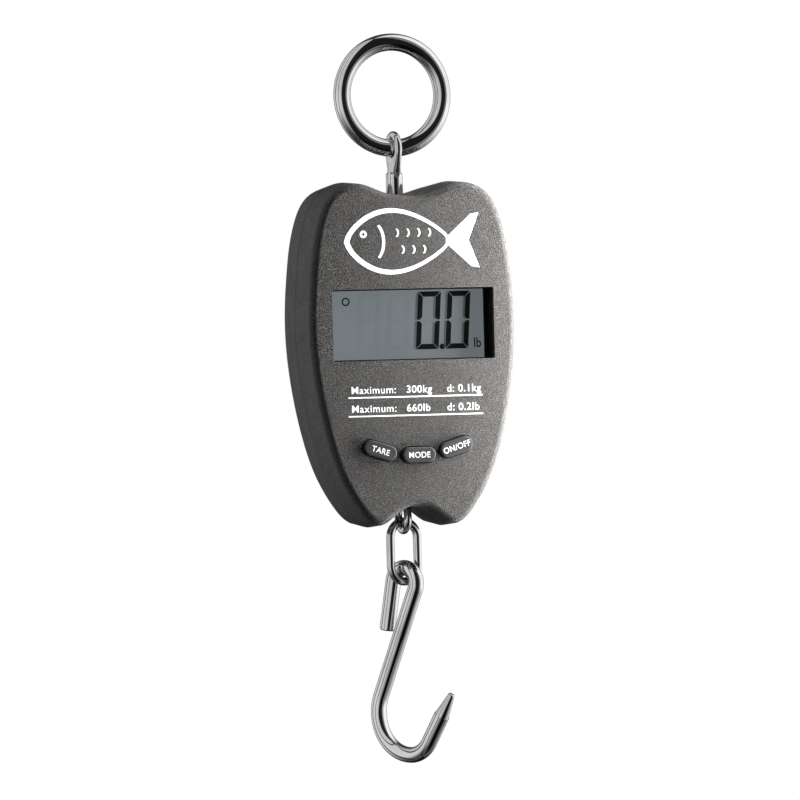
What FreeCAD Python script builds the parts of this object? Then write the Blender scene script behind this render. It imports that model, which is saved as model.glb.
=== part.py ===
"""Digital fish scale: ring, eye bolts, two-part case, load cell, display, buttons, link and S-hook.

Millimetres, +Z up, display facing -Y.  The origin is the inner top of the hanging ring, where the
scale hangs from a bar or a hook.  Each sub-part is written to parts/NODE.step.
"""
import FreeCAD, Part
import math
import os
from FreeCAD import Vector

# ---------------------------------------------------------------- driving dimensions
# hanging ring and eye bolts
RING_WIRE = 7.0
RING_BORE = 36.0
EYE_WIRE = 3.2
EYE_HOLE = 8.0
EYE_LEG_LEAN = 20.0           # degrees between each leg of an eye and the load axis
EYE_LEG_SUNK = 2.2            # how far the legs run on into the shank
EYE_WEB = 2.2                 # thickness of the web between the legs
EYE_CLEAR = 0.4               # room around the lower eye where it enters the case
NECK_DIA = 5.4
SHANK_DIA = 6.8
SHANK_CHAMFER = 0.7
THREAD_DIA = 6.0
THREAD_FIT = 0.02
THREAD_DEPTH = 12.0           # how far each bolt is screwed into the load cell
TOP_SHANK_END = 12.0          # the top shank ends this far above the load cell
LOWER_SHANK_END = 9.0         # the lower shank ends this far below the load cell
TOP_EYE_DROP = 0.3            # the eye's centre hangs this far below the ring's wire
TOP_SHANK_Z = -49.3           # upper shoulder of the top bolt's shank
LOWER_EYE_Z = -188.7
LOWER_SHANK_Z = -180.4
NUT_FLATS = 10.0
NUT_HEIGHT = 5.0

# case: half outline at the seam, from the top notch to the bottom notch, about the case's middle
CASE_MID_Z = -122.9
CASE_WAVE = [
    (0.0, 64.4), (9.0, 65.6), (21.7, 69.7), (33.6, 65.6), (39.7, 55.0), (43.6, 34.0), (44.9, 14.0),
    (42.9, -12.5), (37.2, -38.5), (27.5, -59.8), (15.0, -69.7), (7.5, -65.1), (0.0, -62.1),
]
SEAM_Y = -2.0
FRONT_Y = -18.5
REAR_Y = 17.5
WALL = 2.3
FRONT_DRAFT = 1.0             # how far the front outline stands inside the seam outline
REAR_DRAFT = 1.6
REAR_NOTCH_RISE = 1.6         # the top notch is this much shallower at the rear face
NOTCH_HALF_WIDTH = 10.0
FRONT_ROUND = 2.8
REAR_ROUND = 4.0
SEAM_GAP = 0.3
TONGUE_HEIGHT = 1.4
TONGUE_STEP = 1.2
FIT = 0.1                     # clearance between pieces that locate each other
SHANK_HOLE = SHANK_DIA + 0.6
OVER = 1.0                    # how far a cutting tool runs past what it cuts
ROOT = 0.5                    # how far a boss or post is sunk in its wall

# display
WINDOW_Z = -111.1
WINDOW_WIDTH = 69.2
WINDOW_HEIGHT = 28.8
WINDOW_CORNER = 0.8
LENS_THICK = 1.0
LENS_BORDER = 2.0
LCD_DEPTH = 6.9               # from the front face to the display glass
LCD_WIDTH = 70.0
LCD_HEIGHT = 31.0
LCD_THICK = 2.2
BEZEL_WALL = 2.0
BEZEL_LIP = 0.5
VIEW_WIDTH = 65.2
VIEW_HEIGHT = 27.8
STRIP_HALF_LENGTH = 30.0      # rubber contact strips between the glass and the board
STRIP_HALF = 1.0
STRIP_INSET = 2.0

# circuit board
BOARD_Y = -8.6                # front face of the board
BOARD_THICK = 1.6
BOARD_TOP_Z = -87.0
BOARD_SIDE_Z = -140.0
BOARD_BOTTOM_Z = -172.0
BOARD_HALF_TOP = 36.0
BOARD_HALF_BOTTOM = 27.0
BOARD_POSTS = [(33.0, -90.2), (22.5, -169.0)]
BOARD_POST_R = 2.4
BOARD_SCREW_R = 0.95
BOARD_SCREW_HEAD_R = 1.9
BOARD_SCREW_HEAD = 1.3
BOARD_SCREW_LENGTH = 5.0
# processor, converter and crystal: centre x, half width, lower z, upper z, height off the board
BOARD_BLOCKS = [(0.0, 6.0, -148.0, -136.0, 1.4), (14.0, 2.0, -146.0, -136.0, 1.5),
                (-14.0, 2.0, -148.0, -137.0, 2.5)]
CAPACITOR_R = 2.5
CAPACITOR_HEIGHT = 5.5
CAPACITOR_PLACE = (24.0, -140.0)

# buttons: name, centre x, centre z, tilt in degrees
BUTTONS = [("tare", -16.1, -161.6, -17.0), ("mode", 0.4, -163.7, 0.0), ("power", 16.5, -160.9, 17.0)]
BUTTON_LENGTH = 14.3
BUTTON_HEIGHT = 6.2
BUTTON_GAP = 0.45
BUTTON_PROUD = 1.9
BUTTON_EDGE = 0.7
BUTTON_FLANGE = 0.9
BUTTON_FLANGE_THICK = 1.0
BUTTON_PLAY = 0.3
BUTTON_POST_R = 1.6
SWITCH_SIDE = 6.0
SWITCH_THICK = 3.5
STEM_R = 1.7
STEM_PROUD = 1.5
STEM_SUNK = 1.2
STEM_TRAVEL = 1.0             # room behind a stem for its travel

# load cell
CELL_TOP_Z = -86.0
CELL_BOTTOM_Z = -158.0
CELL_WIDTH = 36.0
CELL_THICK = 9.0
CELL_SLOT = 2.0
CELL_SLOT_REACH = 28.0
CELL_ARM = 16.0               # height of the solid arm above or below each slot
CELL_BORE_R = 6.0
CELL_BORE_X = 7.0
GAUGE_SIZE = (5.0, 0.25, 9.0)
GAUGE_OFFSET = 11.5           # gauge centres above and below the cell's middle
CELL_BORE_LINK = 1.5          # half height of the slot between the two bores
CELL_SCREWS = (12.0, -91.0)
CELL_POST_R = 4.2
CELL_SCREW_SEAT = 5.3         # depth of the cell screws' seats below the rear face
CELL_SCREW_TIP_Y = -1.5
CELL_SCREW_R = 1.45

# batteries: three AAA cells side by side
BATTERY_R = 5.2
BATTERY_LENGTH = 44.5
BATTERY_NUB_R = 1.9
BATTERY_NUB = 1.0
BATTERY_RIM = 0.5
BATTERY_PITCH = 10.9
BAY_FLOOR_Y = 4.8
BAY_FLOOR = 0.8
BAY_WALL = 1.8
BAY_HALF_WIDTH = 16.5
BAY_TOP_Z = -98.0
BAY_BOTTOM_Z = -146.5
DOOR_THICK = 1.2
DOOR_LEDGE = 1.6
DOOR_GAP = 0.3
DOOR_LIFT = 0.05              # gap between the door and the step that it lies on
FINGER_NOTCH_R = 7.0
RIB_HALF_LENGTH = 9.0         # grooves that give the thumb a hold on the door
RIB_WIDTH = 1.0
RIB_DEPTH = 0.4
RIB_PITCH = 2.2
RIB_START = 3.2
RIB_COUNT = 4
CONTACT_THICK = 0.4
CONTACT_HALF_WIDTH = 4.2
CONTACT_HALF_DEPTH = 4.5
CONTACT_DIMPLE_R = 2.6
WIRE_DIA = 1.3
CELL_CABLE_DIA = 2.2
WIRE_BEND = 3.0
WIRE_X = 24.0                 # where each wire turns towards the board
BATTERY_WIRE_Y = 9.0
BATTERY_WIRE_Z = {"positive": -104.0, "negative": -109.0}
CELL_CABLE_Z = -130.0

# case screws: upper pair and lower pair
CASE_SCREWS = [(33.0, -80.0), (19.0, -177.0)]
BOSS_R = 3.6
SCREW_R = 1.2
SCREW_HEAD_R = 2.6
SCREW_HEAD = 2.0
SCREW_SEAT_Y = 6.0
SCREW_TIP_Y = -10.0
SCREW_RIM = 0.8
CROSS_LONG = 1.5              # half length and half width of a screw's cross recess
CROSS_WIDE = 0.35
CROSS_DEPTH = 1.0
SCREW_FIT = 0.05

# chain link and S-hook
LINK_WIRE = 3.4
LINK_WIDTH = 16.6
LINK_TURN = -15.0             # angle of the link's plane from the case's front, degrees
LINK_END_Z = -215.0           # centre of the link's lower wire
HANG_GAP = 0.25               # clearance where one loop hangs in another
HOOK_WIRE = 6.4
HOOK_TURN = 61.0              # angle of the hook's plane from the case's front, degrees
HOOK_U_S = -0.1               # centre of the upper bend, measured in the hook's plane
HOOK_U_Z = -215.6
HOOK_U_R = 6.1
HOOK_SHORT_TILT = 11.2
HOOK_SHORT_LENGTH = 20.7
HOOK_BEND_S = 1.1
HOOK_BOTTOM_Z = -285.3
HOOK_LEFT_R = 16.9
HOOK_RIGHT_R = 11.7
HOOK_POINT_TILT = 33.0
HOOK_POINT_RUN = 13.0
HOOK_CONE = 10.2
HOOK_CONE_STEP = 0.25
HOOK_TIP_R = 1.3
HOOK_TIP_ROUND = 0.66
HOOK_END_CHAMFER = 0.5

# ---------------------------------------------------------------- derived places
RING_R = (RING_BORE + RING_WIRE) / 2
RING_WIRE_Z = -RING_BORE - RING_WIRE / 2
EYE_R = (EYE_HOLE + EYE_WIRE) / 2
TOP_EYE_Z = RING_WIRE_Z - TOP_EYE_DROP
FRONT_INNER_Y = FRONT_Y + WALL
REAR_INNER_Y = REAR_Y - WALL
LCD_Y = FRONT_Y + LCD_DEPTH
LCD_BACK_Y = LCD_Y + LCD_THICK
LENS_BACK_Y = FRONT_INNER_Y + LENS_THICK
BOARD_BACK_Y = BOARD_Y + BOARD_THICK
SWITCH_Y = BOARD_Y - SWITCH_THICK
STEM_Y = SWITCH_Y - STEM_PROUD
FLANGE_Y = FRONT_INNER_Y + BUTTON_PLAY
BATTERY_Y = BAY_FLOOR_Y + BAY_FLOOR + FIT + BATTERY_R
DOOR_Y = REAR_Y - DOOR_THICK
CELL_MID_Z = (CELL_TOP_Z + CELL_BOTTOM_Z) / 2
BATTERY_MID_Z = (BAY_TOP_Z + BAY_BOTTOM_Z) / 2
LINK_R = (LINK_WIDTH - LINK_WIRE) / 2
LOWER_EYE_WIRE_Z = LOWER_EYE_Z - EYE_R
LINK_TOP_Z = LOWER_EYE_WIRE_Z + EYE_WIRE / 2 + HANG_GAP + LINK_WIRE / 2
X_AXIS = Vector(1, 0, 0)
Y_AXIS = Vector(0, 1, 0)
Z_AXIS = Vector(0, 0, 1)


# ---------------------------------------------------------------- helpers
def save(node, shape):
    """Write one node as a STEP file, after a check that its solids are sound."""
    shape = shape.removeSplitter()
    solids = shape.Solids
    print(f"{node:24s} valid={shape.isValid()} solids={len(solids)} volume={shape.Volume:.1f}")
    shape = solids[0] if len(solids) == 1 else Part.makeCompound(solids)
    shape.exportStep(f"parts/{node}.step")


def block(x0, x1, y0, y1, z0, z1):
    """A box between two opposite corners."""
    return Part.makeBox(x1 - x0, y1 - y0, z1 - z0, Vector(x0, y0, z0))


def rod_y(radius, y0, y1, x, z):
    """A round rod along Y."""
    return Part.makeCylinder(radius, y1 - y0, Vector(x, y0, z), Y_AXIS)


def rod_z(radius, z0, z1, x=0.0, y=0.0):
    """A round rod along Z."""
    return Part.makeCylinder(radius, z1 - z0, Vector(x, y, z0), Z_AXIS)


def both_sides(places):
    """Each (x, z) place and its mirror image."""
    return [(side * x, z) for x, z in places for side in (-1, 1)]


def fuse_all(shapes):
    """One solid out of several that touch or overlap."""
    return shapes[0].multiFuse(shapes[1:])


def cut_all(shape, tools):
    """Remove each tool from a shape."""
    return shape.cut(Part.makeCompound(tools)) if tools else shape


def swept_wire(edges, diameter):
    """A round wire along tangent edges; its start plane is taken from the first edge."""
    path = Part.Wire(edges)
    first = edges[0]
    start = first.valueAt(first.FirstParameter)
    direction = first.tangentAt(first.FirstParameter)
    profile = Part.Wire([Part.makeCircle(diameter / 2, start, direction)])
    return path.makePipeShell([profile], True, False)


# ---------------------------------------------------------------- case outline
def outline(inset, y, notch_rise=0.0):
    """The case's closed outline at depth y, moved inwards by inset along its own normals."""
    right = [Vector(x, y, CASE_MID_Z + z) for x, z in CASE_WAVE]
    left = [Vector(-x, y, CASE_MID_Z + z) for x, z in reversed(CASE_WAVE[1:-1])]
    base = Part.BSplineCurve()
    base.interpolate(Points=right + left, PeriodicFlag=True)
    moved = []
    for point in right + left:
        tangent = base.tangent(base.parameter(point))[0]
        in_top_notch = abs(point.x) < NOTCH_HALF_WIDTH and point.z > CASE_MID_Z
        rise = notch_rise if in_top_notch else 0.0
        moved.append(point + Vector(tangent.z, 0, -tangent.x) * inset + Z_AXIS * rise)
    curve = Part.BSplineCurve()
    curve.interpolate(Points=moved, PeriodicFlag=True)
    return Part.Wire([curve.toShape()])


def slab(inset_a, y_a, inset_b, y_b, notch_rise=0.0):
    """A solid with the case's outline, from one inset and depth to another, where the notch rises."""
    return Part.makeLoft([outline(inset_a, y_a), outline(inset_b, y_b, notch_rise)], True, True)


def round_rim(shape, y, radius):
    """Round the outer edges that lie in the plane at depth y."""
    rim = [e for e in shape.Edges if abs(e.BoundBox.YMin - y) < 0.01 and abs(e.BoundBox.YMax - y) < 0.01]
    return shape.makeFillet(radius, rim)


def stadium(length, height, y0, y1, x, z, tilt):
    """A bar with round ends along X, turned by tilt degrees, from depth y0 to y1."""
    half = (length - height) / 2
    body = block(-half, half, y0, y1, -height / 2, height / 2)
    ends = [rod_y(height / 2, y0, y1, side * half, 0) for side in (-1, 1)]
    bar = fuse_all([body] + ends).removeSplitter()
    bar.rotate(Vector(0, 0, 0), Y_AXIS, -tilt)
    bar.translate(Vector(x, 0, z))
    return bar


# ---------------------------------------------------------------- ring and eye bolts
def hanging_ring():
    centre = Vector(0, 0, -RING_BORE / 2)
    return Part.makeTorus(RING_R, RING_WIRE / 2, centre, Y_AXIS)


def eye(eye_z, shoulder_z):
    """The bent wire of an eye in the Y-Z plane, with two straight legs that close in on the shank."""
    way = 1 if shoulder_z > eye_z else -1
    lean = math.radians(EYE_LEG_LEAN)
    tangent_z = eye_z + way * EYE_R * math.sin(lean)
    end_z = shoulder_z + way * EYE_LEG_SUNK
    near_y = EYE_R * math.cos(lean)
    end_y = near_y - abs(end_z - tangent_z) * math.tan(lean)
    left, right = [(Vector(0, side * end_y, end_z), Vector(0, side * near_y, tangent_z)) for side in (-1, 1)]
    crown = Vector(0, 0, eye_z - way * EYE_R)
    edges = [Part.LineSegment(*left).toShape(), Part.Arc(left[1], crown, right[1]).toShape(),
             Part.LineSegment(right[1], right[0]).toShape()]
    corners = [left[0], left[1], right[1], right[0], left[0]]
    web = Part.Face(Part.makePolygon(corners)).extrude(X_AXIS * EYE_WEB)
    web.translate(X_AXIS * (-EYE_WEB / 2))
    return fuse_all([swept_wire(edges, EYE_WIRE), web])


def eye_bolt(eye_z, shoulder_z, thread_end_z, shank_end_z):
    """An eye on a narrow neck, a thick shank and a thread; down when the shoulder is below the eye."""
    way = -1 if shoulder_z < eye_z else 1
    hole = Part.makeCylinder(EYE_HOLE / 2, NECK_DIA * 2, Vector(-NECK_DIA, 0, eye_z), X_AXIS)
    spans = [(NECK_DIA, eye_z + way * EYE_R, shoulder_z), (SHANK_DIA, shoulder_z, shank_end_z),
             (THREAD_DIA, shank_end_z, thread_end_z)]
    rods = [rod_z(dia / 2, min(a, b), max(a, b)) for dia, a, b in spans]
    shoulder = [e for e in rods[1].Edges if abs(e.BoundBox.ZMin - shoulder_z) < 0.01
                and abs(e.BoundBox.ZMax - shoulder_z) < 0.01]
    rods[1] = rods[1].makeChamfer(SHANK_CHAMFER, shoulder)
    return fuse_all([eye(eye_z, shoulder_z)] + rods).cut(hole)


def hex_nut(z0):
    """A hexagon nut on the bolts' thread."""
    corner = NUT_FLATS / math.sqrt(3)
    points = [Vector(corner * math.cos(math.radians(60 * i)), corner * math.sin(math.radians(60 * i)), z0)
              for i in range(7)]
    body = Part.Face(Part.makePolygon(points)).extrude(Z_AXIS * NUT_HEIGHT)
    return body.cut(rod_z(THREAD_DIA / 2 + THREAD_FIT, z0 - OVER, z0 + NUT_HEIGHT + OVER))


# ---------------------------------------------------------------- case shells
def bolt_holes():
    """The holes where the bolts pass through the notches, with a slot for the lower eye."""
    top = rod_z(SHANK_HOLE / 2, CELL_TOP_Z + OVER, TOP_SHANK_Z)
    bottom = rod_z(SHANK_HOLE / 2, LOWER_EYE_Z, CELL_BOTTOM_Z - OVER)
    reach = EYE_R + EYE_WIRE / 2 + EYE_CLEAR
    half = EYE_WIRE / 2 + EYE_CLEAR
    slot = block(-half, half, -reach, reach, LOWER_EYE_Z, LOWER_SHANK_Z + OVER)
    return [top, bottom, slot]


def window_opening(y0, y1):
    """The display opening through the front wall, with small round corners."""
    half_width = WINDOW_WIDTH / 2
    half_height = WINDOW_HEIGHT / 2
    hole = block(-half_width, half_width, y0, y1, WINDOW_Z - half_height, WINDOW_Z + half_height)
    corners = [e for e in hole.Edges if abs(e.BoundBox.YLength - (y1 - y0)) < 0.01]
    return hole.makeFillet(WINDOW_CORNER, corners)


def front_case():
    outer = slab(0.0, SEAM_Y - SEAM_GAP / 2, FRONT_DRAFT, FRONT_Y)
    outer = round_rim(outer, FRONT_Y, FRONT_ROUND)
    hollow = slab(WALL, SEAM_Y + OVER, WALL + FRONT_DRAFT, FRONT_INNER_Y)
    groove = slab(TONGUE_STEP, SEAM_Y + OVER, TONGUE_STEP, SEAM_Y - SEAM_GAP / 2 - TONGUE_HEIGHT - FIT)
    shell = outer.cut(hollow).cut(groove)
    screw_places = both_sides(CASE_SCREWS)
    post_places = both_sides(BOARD_POSTS)
    bosses = [rod_y(BOSS_R, FRONT_INNER_Y - ROOT, SEAM_Y - SEAM_GAP, x, z) for x, z in screw_places]
    posts = [rod_y(BOARD_POST_R, FRONT_INNER_Y - ROOT, BOARD_Y, x, z) for x, z in post_places]
    shell = fuse_all([shell] + bosses + posts)
    holes = [rod_y(SCREW_R + SCREW_FIT, SCREW_TIP_Y - OVER, SEAM_Y + OVER, x, z) for x, z in screw_places]
    holes += [rod_y(BOARD_SCREW_R + SCREW_FIT, BOARD_Y - BOARD_SCREW_LENGTH - OVER, BOARD_Y + OVER, x, z)
              for x, z in post_places]
    holes += [window_opening(FRONT_Y - OVER, FRONT_INNER_Y + OVER)]
    holes += [stadium(BUTTON_LENGTH + 2 * BUTTON_GAP, BUTTON_HEIGHT + 2 * BUTTON_GAP,
                      FRONT_Y - OVER, FRONT_INNER_Y + OVER, x, z, tilt) for _, x, z, tilt in BUTTONS]
    return cut_all(shell, holes + bolt_holes())


def battery_bay():
    """The box inside the rear shell that holds the batteries."""
    half = BAY_HALF_WIDTH + BAY_WALL
    return block(-half, half, BAY_FLOOR_Y, REAR_INNER_Y + ROOT, BAY_BOTTOM_Z - BAY_WALL, BAY_TOP_Z + BAY_WALL)


def bay_hollows():
    """The bay's inside and the step that the door lies in."""
    half = BAY_HALF_WIDTH
    inside = block(-half, half, BAY_FLOOR_Y + BAY_FLOOR, REAR_Y + OVER, BAY_BOTTOM_Z, BAY_TOP_Z)
    step_half = half + DOOR_LEDGE
    step = block(-step_half, step_half, DOOR_Y, REAR_Y + OVER,
                 BAY_BOTTOM_Z - DOOR_LEDGE, BAY_TOP_Z + DOOR_LEDGE)
    finger = rod_y(FINGER_NOTCH_R, DOOR_Y, REAR_Y + OVER, 0, BAY_TOP_Z + DOOR_LEDGE)
    return [inside, step, finger]


def screw_wells(places, seat_y, shank_r):
    """Stepped holes for screws put in from the rear."""
    wells = [rod_y(SCREW_HEAD_R + SEAM_GAP, seat_y, REAR_Y + OVER, x, z) for x, z in places]
    return wells + [rod_y(shank_r, SEAM_Y - OVER, seat_y + OVER, x, z) for x, z in places]


def rear_case():
    outer = slab(0.0, SEAM_Y + SEAM_GAP / 2, REAR_DRAFT, REAR_Y, REAR_NOTCH_RISE)
    outer = round_rim(outer, REAR_Y, REAR_ROUND)
    tongue_end = SEAM_Y - SEAM_GAP / 2 - TONGUE_HEIGHT
    tongue = slab(TONGUE_STEP + FIT, SEAM_Y + OVER, TONGUE_STEP + FIT, tongue_end)
    hollow = slab(WALL, tongue_end - OVER, WALL + REAR_DRAFT, REAR_INNER_Y, REAR_NOTCH_RISE)
    shell = outer.fuse(tongue).cut(hollow)
    screw_places = both_sides(CASE_SCREWS)
    cell_places = both_sides([CELL_SCREWS])
    bosses = [rod_y(BOSS_R, SEAM_Y, REAR_INNER_Y + ROOT, x, z) for x, z in screw_places]
    posts = [rod_y(CELL_POST_R, CELL_THICK / 2, REAR_INNER_Y + ROOT, x, z) for x, z in cell_places]
    shell = fuse_all([shell, battery_bay()] + bosses + posts)
    holes = screw_wells(screw_places, SCREW_SEAT_Y, SCREW_R + SEAM_GAP)
    holes += screw_wells(cell_places, REAR_Y - CELL_SCREW_SEAT, CELL_SCREW_R + SEAM_GAP)
    return cut_all(shell, holes + bay_hollows() + bolt_holes())


def screws(places, seat_y, tip_y, radius):
    """Pan-head screws with a cross recess, heads towards +Y."""
    top_y = seat_y + SCREW_HEAD
    made = []
    for x, z in places:
        head = rod_y(SCREW_HEAD_R, seat_y, top_y, x, z)
        rim = [e for e in head.Edges if abs(e.BoundBox.YMin - top_y) < 0.01]
        head = head.makeFillet(SCREW_RIM, rim)
        cross = [block(x - a, x + a, top_y - CROSS_DEPTH, top_y + OVER, z - b, z + b)
                 for a, b in ((CROSS_LONG, CROSS_WIDE), (CROSS_WIDE, CROSS_LONG))]
        made.append(cut_all(head.fuse(rod_y(radius, tip_y, seat_y + ROOT, x, z)), cross))
    return Part.makeCompound(made)


# ---------------------------------------------------------------- display and board
def frame_block(width, height, y0, y1):
    """A box centred on the display."""
    return block(-width / 2, width / 2, y0, y1, WINDOW_Z - height / 2, WINDOW_Z + height / 2)


def display_window():
    width = WINDOW_WIDTH + 2 * LENS_BORDER
    height = WINDOW_HEIGHT + 2 * LENS_BORDER
    return frame_block(width, height, FRONT_INNER_Y, LENS_BACK_Y)


def display_bezel():
    outer_width = LCD_WIDTH + 2 * BEZEL_WALL
    outer_height = LCD_HEIGHT + 2 * BEZEL_WALL
    body = frame_block(outer_width, outer_height, LENS_BACK_Y, LCD_BACK_Y)
    light_well = frame_block(WINDOW_WIDTH, WINDOW_HEIGHT, LENS_BACK_Y - OVER, LCD_Y - BEZEL_LIP)
    view = frame_block(VIEW_WIDTH, VIEW_HEIGHT, LENS_BACK_Y - OVER, LCD_Y + OVER)
    pocket = frame_block(LCD_WIDTH + 2 * FIT, LCD_HEIGHT + 2 * FIT, LCD_Y, LCD_BACK_Y + OVER)
    return body.cut(light_well).cut(view).cut(pocket)


def lcd_panel():
    return frame_block(LCD_WIDTH, LCD_HEIGHT, LCD_Y, LCD_BACK_Y)


def lcd_connectors():
    """Two rubber contact strips between the display glass and the board."""
    offset = LCD_HEIGHT / 2 - STRIP_INSET
    reach = STRIP_HALF_LENGTH
    strips = [block(-reach, reach, LCD_BACK_Y, BOARD_Y, z - STRIP_HALF, z + STRIP_HALF)
              for z in (WINDOW_Z - offset, WINDOW_Z + offset)]
    return Part.makeCompound(strips)


def circuit_board():
    half_outline = [(BOARD_HALF_TOP, BOARD_TOP_Z), (BOARD_HALF_TOP, BOARD_SIDE_Z),
                    (BOARD_HALF_BOTTOM, BOARD_BOTTOM_Z)]
    points = [Vector(x, BOARD_Y, z) for x, z in half_outline]
    points += [Vector(-x, BOARD_Y, z) for x, z in reversed(half_outline)]
    board = Part.Face(Part.makePolygon(points + points[:1])).extrude(Y_AXIS * BOARD_THICK)
    holes = [rod_y(BOARD_SCREW_R + SEAM_GAP, BOARD_Y - OVER, BOARD_BACK_Y + OVER, x, z)
             for x, z in both_sides(BOARD_POSTS)]
    return cut_all(board, holes)


def board_screws():
    made = []
    for x, z in both_sides(BOARD_POSTS):
        head = rod_y(BOARD_SCREW_HEAD_R, BOARD_BACK_Y, BOARD_BACK_Y + BOARD_SCREW_HEAD, x, z)
        made.append(head.fuse(rod_y(BOARD_SCREW_R, BOARD_Y - BOARD_SCREW_LENGTH, BOARD_BACK_Y + ROOT, x, z)))
    return Part.makeCompound(made)


def board_chips():
    """Processor, converter, crystal and two capacitors on the board's front."""
    blocks = [block(x - half, x + half, BOARD_Y - height, BOARD_Y, low, high)
              for x, half, low, high, height in BOARD_BLOCKS]
    capacitors = [rod_y(CAPACITOR_R, BOARD_Y - CAPACITOR_HEIGHT, BOARD_Y, x, z)
                  for x, z in both_sides([CAPACITOR_PLACE])]
    return Part.makeCompound(blocks + capacitors)


# ---------------------------------------------------------------- buttons
def button(x, z, tilt):
    """A push button: cap with a rounded rim, retaining flange and a rear post."""
    face_y = FRONT_Y - BUTTON_PROUD
    cap = stadium(BUTTON_LENGTH, BUTTON_HEIGHT, face_y, FLANGE_Y + BUTTON_FLANGE_THICK, x, z, tilt)
    rim = [e for e in cap.Edges if abs(e.BoundBox.YMax - face_y) < 0.01]
    cap = cap.makeFillet(BUTTON_EDGE, rim)
    flange = stadium(BUTTON_LENGTH + 2 * BUTTON_FLANGE, BUTTON_HEIGHT + 2 * BUTTON_FLANGE,
                     FLANGE_Y, FLANGE_Y + BUTTON_FLANGE_THICK, x, z, tilt)
    post = rod_y(BUTTON_POST_R, FLANGE_Y, STEM_Y, x, z)
    return fuse_all([cap, flange, post])


def tact_switches():
    made = []
    for _, x, z, _ in BUTTONS:
        half = SWITCH_SIDE / 2
        body = block(x - half, x + half, SWITCH_Y, BOARD_Y, z - half, z + half)
        made.append(body.cut(rod_y(STEM_R + FIT, SWITCH_Y - OVER, SWITCH_Y + STEM_SUNK + STEM_TRAVEL, x, z)))
    return Part.makeCompound(made)


def switch_stem(x, z):
    return rod_y(STEM_R, STEM_Y, SWITCH_Y + STEM_SUNK, x, z)


# ---------------------------------------------------------------- load cell and wiring
def load_cell():
    """An S-shaped tension cell: two side slots and a waisted centre hole."""
    half = CELL_WIDTH / 2
    y0 = -CELL_THICK / 2 - OVER
    y1 = CELL_THICK / 2 + OVER
    body = block(-half, half, -CELL_THICK / 2, CELL_THICK / 2, CELL_BOTTOM_Z, CELL_TOP_Z)
    upper = CELL_TOP_Z - CELL_ARM
    lower = CELL_BOTTOM_Z + CELL_ARM
    bolt_r = THREAD_DIA / 2 + THREAD_FIT
    tools = [
        block(-half - OVER, -half + CELL_SLOT_REACH, y0, y1, upper - CELL_SLOT, upper),
        block(half - CELL_SLOT_REACH, half + OVER, y0, y1, lower, lower + CELL_SLOT),
        block(-CELL_BORE_X, CELL_BORE_X, y0, y1, CELL_MID_Z - CELL_BORE_LINK, CELL_MID_Z + CELL_BORE_LINK),
        rod_z(bolt_r, CELL_TOP_Z - THREAD_DEPTH - CELL_SLOT, CELL_TOP_Z + OVER),
        rod_z(bolt_r, CELL_BOTTOM_Z - OVER, CELL_BOTTOM_Z + THREAD_DEPTH + CELL_SLOT),
    ]
    tools += [rod_y(CELL_BORE_R, y0, y1, side * CELL_BORE_X, CELL_MID_Z) for side in (-1, 1)]
    tools += [rod_y(CELL_SCREW_R + SCREW_FIT, CELL_SCREW_TIP_Y - ROOT, y1, x, z)
              for x, z in both_sides([CELL_SCREWS])]
    return cut_all(body, tools)


def strain_gauges():
    """Foil gauges on the front face, beside the centre hole's thin walls."""
    width, thick, height = GAUGE_SIZE
    front = -CELL_THICK / 2
    places = [(x, CELL_MID_Z + side * GAUGE_OFFSET) for side in (-1, 1) for x in (-CELL_BORE_X, CELL_BORE_X)]
    return Part.makeCompound([
        block(x - width / 2, x + width / 2, front - thick, front, z - height / 2, z + height / 2)
        for x, z in places])


def elbow_wire(side, x0, y0, z, diameter):
    """A wire that leaves sideways at x0 and turns forwards to the board."""
    r = WIRE_BEND
    half_way = math.pi / 4
    start = Vector(side * x0, y0, z)
    bend_start = Vector(side * (WIRE_X - r), y0, z)
    bend_end = Vector(side * WIRE_X, y0 - r, z)
    middle = Vector(side * (WIRE_X - r + r * math.sin(half_way)), y0 - r + r * math.cos(half_way), z)
    end = Vector(side * WIRE_X, BOARD_BACK_Y, z)
    edges = [Part.LineSegment(start, bend_start).toShape(), Part.Arc(bend_start, middle, bend_end).toShape(),
             Part.LineSegment(bend_end, end).toShape()]
    return swept_wire(edges, diameter)


def battery_wire(pole):
    return elbow_wire(-1, BAY_HALF_WIDTH + BAY_WALL, BATTERY_WIRE_Y, BATTERY_WIRE_Z[pole], WIRE_DIA)


def load_cell_cable():
    return elbow_wire(1, CELL_WIDTH / 2, 0.0, CELL_CABLE_Z, CELL_CABLE_DIA)


# ---------------------------------------------------------------- batteries
def battery_rows():
    """The x of each battery and which end its positive nub is on."""
    return [(-BATTERY_PITCH, 1), (0.0, -1), (BATTERY_PITCH, 1)]


def battery_cells():
    low = BATTERY_MID_Z - BATTERY_LENGTH / 2
    high = BATTERY_MID_Z + BATTERY_LENGTH / 2
    made = []
    for x, way in battery_rows():
        bottom = low if way > 0 else low + BATTERY_NUB
        top = high if way < 0 else high - BATTERY_NUB
        can = rod_z(BATTERY_R, bottom, top, x, BATTERY_Y)
        rims = [e for e in can.Edges if e.BoundBox.ZLength < 0.1]
        nub_low, nub_high = (top - ROOT, high) if way > 0 else (low, bottom + ROOT)
        nub = rod_z(BATTERY_NUB_R, nub_low, nub_high, x, BATTERY_Y)
        made.append(can.makeFillet(BATTERY_RIM, rims).fuse(nub))
    return Part.makeCompound(made)


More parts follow.
